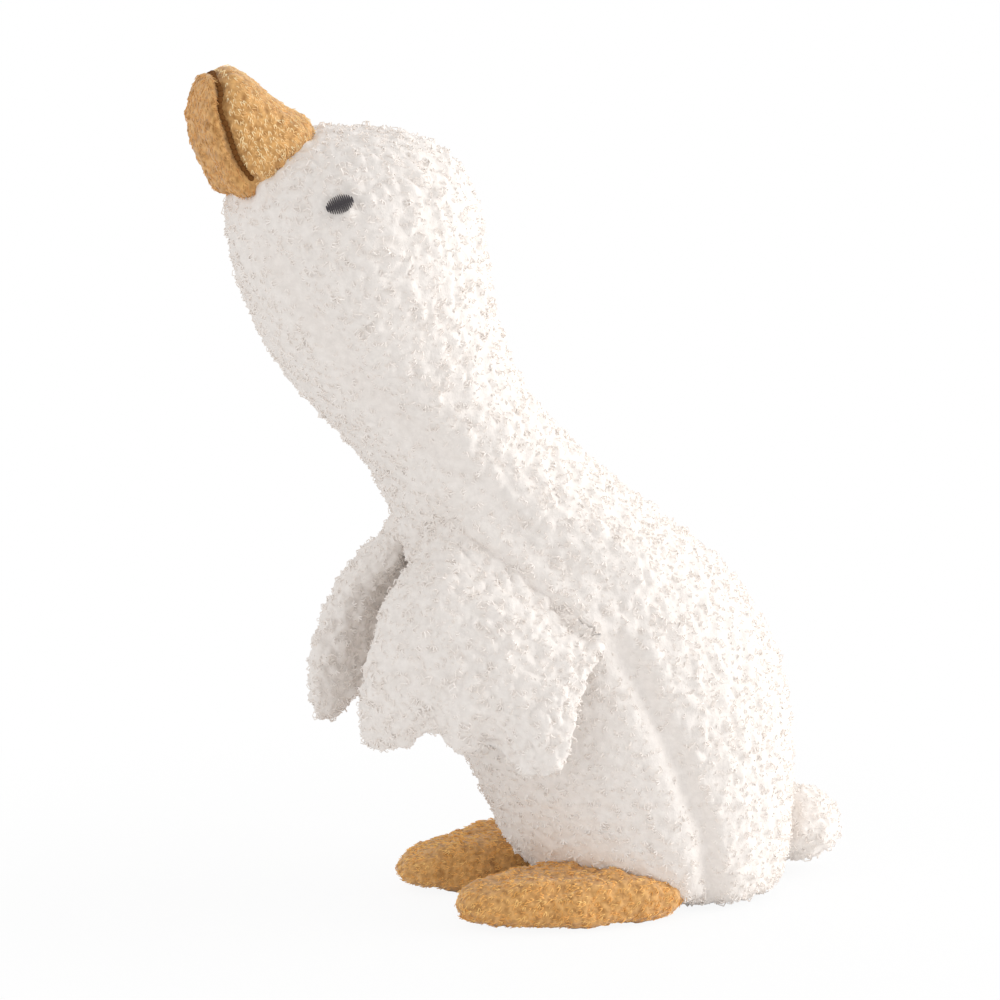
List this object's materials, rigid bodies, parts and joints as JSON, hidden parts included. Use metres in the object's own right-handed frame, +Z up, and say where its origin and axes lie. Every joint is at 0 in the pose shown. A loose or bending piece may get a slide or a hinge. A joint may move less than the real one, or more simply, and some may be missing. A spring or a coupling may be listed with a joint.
{
  "type": "plush goose toy",
  "caption": "Standing plush goose of curly pile cloth, with a stuffed upright body, flap wings, a short tail, a padded bill and flat webbed feet.",
  "frame": {"origin": "on the surface the toy stands on, under the centre of its bounding box", "axes": "+Z up, +X towards the bird's left wing, -Y the way its bill points"},
  "size_m": [0.1196, 0.2292, 0.2775],
  "materials": {
    "white_curly_pile": "matte curly pile",
    "honey_tan_pile": "matte short pile",
    "brown_thread": "matte thread",
    "dark_thread": "satin thread"
  },
  "bodies": {
    "root": {"body": "white_curly_pile", "left_wing": "white_curly_pile", "right_wing": "white_curly_pile", "tail": "white_curly_pile", "beak": "honey_tan_pile", "left_foot": "honey_tan_pile", "right_foot": "honey_tan_pile", "mouth_stitching": "brown_thread", "left_eye": "dark_thread", "right_eye": "dark_thread"}
  },
  "joints": []
}
